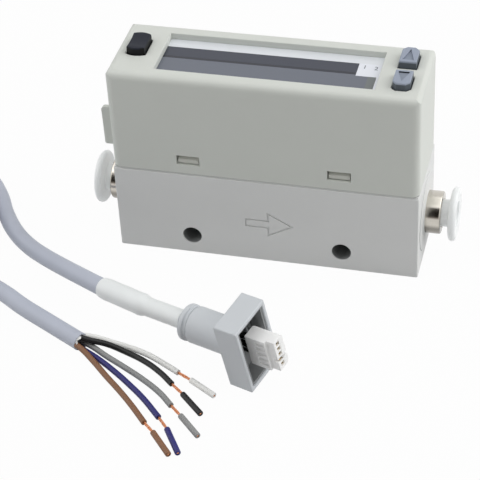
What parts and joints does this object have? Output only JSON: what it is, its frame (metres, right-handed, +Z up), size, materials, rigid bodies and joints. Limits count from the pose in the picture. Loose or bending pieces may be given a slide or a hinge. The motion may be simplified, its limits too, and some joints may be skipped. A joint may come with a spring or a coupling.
{
  "type": "inline flow sensor",
  "caption": "Compact inline flow sensor: a flow block with a push-in tube port at each end, a case with a display window and keys on top, a side socket, and its unplugged coiled lead.",
  "frame": {"origin": "middle of the underside of the flow block, with the lead left out", "axes": "+X is the flow direction, from the left port to the right port; +Y points to the back; +Z is up"},
  "size_m": [0.1684, 0.0911, 0.0492],
  "materials": {
    "block": "satin",
    "case": "satin",
    "frame": "satin",
    "steel": "satin",
    "nickel": "nickel-plated",
    "window": "gloss",
    "label": "satin silver",
    "lcd": "gloss",
    "white_plastic": "matte",
    "clear_plastic": "milky",
    "lamp": "gloss",
    "dark_key": "matte",
    "grey_key": "matte",
    "black_plastic": "matte",
    "circuit_board": "satin",
    "gilt": "gilt",
    "seal": "matte",
    "plug_grey": "satin",
    "sleeve": "milky",
    "cable": "satin",
    "white_wire": "satin",
    "black_wire": "satin",
    "grey_wire": "satin",
    "blue_wire": "satin",
    "brown_wire": "satin",
    "copper": "bare copper"
  },
  "bodies": {
    "sensor": {"base_block": "block", "upper_case": "case", "inner_frame": "frame", "frame_screws": "steel", "display_lens": "window", "label_sheet": "label", "lcd_glass": "lcd", "lcd_holder": "white_plastic", "light_pipes": "clear_plastic", "lamps": "lamp", "key_switches": "black_plastic", "display_board": "circuit_board", "board_pillars": "gilt", "board_screws": "steel", "board_link": "black_plastic", "main_board": "circuit_board", "board_chips": "black_plastic", "socket_header": "white_plastic", "header_pins": "gilt", "sensor_link": "black_plastic", "sensor_board": "circuit_board", "sensor_chip": "black_plastic", "sensor_gasket": "seal", "sensor_clamp": "black_plastic", "clamp_screws": "steel", "flow_screens": "steel", "screen_spacers": "steel", "left_cartridge": "steel", "left_ring": "nickel", "left_collet": "steel", "left_tube_seal": "seal", "right_cartridge": "steel", "right_ring": "nickel", "right_collet": "steel", "right_tube_seal": "seal", "plug_hood": "plug_grey", "hood_lining": "seal", "crimp_housing": "white_plastic", "crimp_contacts": "gilt", "plug_wires": "black_wire", "shrink_sleeve": "sleeve", "cable_near": "cable", "cable_coil": "cable", "cable_far": "cable", "white_wire": "white_wire", "black_wire": "black_wire", "grey_wire": "grey_wire", "blue_wire": "blue_wire", "brown_wire": "brown_wire", "wire_cores": "copper"},
    "left_release": {"left_collar": "clear_plastic"},
    "right_release": {"right_collar": "clear_plastic"},
    "set_button": {"set_key": "dark_key"},
    "up_button": {"up_key": "grey_key"},
    "down_button": {"down_key": "grey_key"}
  },
  "joints": [
    {"name": "left_release_slide", "type": "slide", "parent": "sensor", "child": "left_release", "axis": [1, 0, 0], "range_m": [0, 0.001], "stiffness_N_per_m": 500},
    {"name": "right_release_slide", "type": "slide", "parent": "sensor", "child": "right_release", "axis": [-1, 0, 0], "range_m": [0, 0.001], "stiffness_N_per_m": 500},
    {"name": "set_press", "type": "slide", "parent": "sensor", "child": "set_button", "axis": [0, 0, -1], "range_m": [0, 0.0005], "stiffness_N_per_m": 1200},
    {"name": "up_press", "type": "slide", "parent": "sensor", "child": "up_button", "axis": [0, 0, -1], "range_m": [0, 0.0005], "stiffness_N_per_m": 1200},
    {"name": "down_press", "type": "slide", "parent": "sensor", "child": "down_button", "axis": [0, 0, -1], "range_m": [0, 0.0005], "stiffness_N_per_m": 1200}
  ]
}
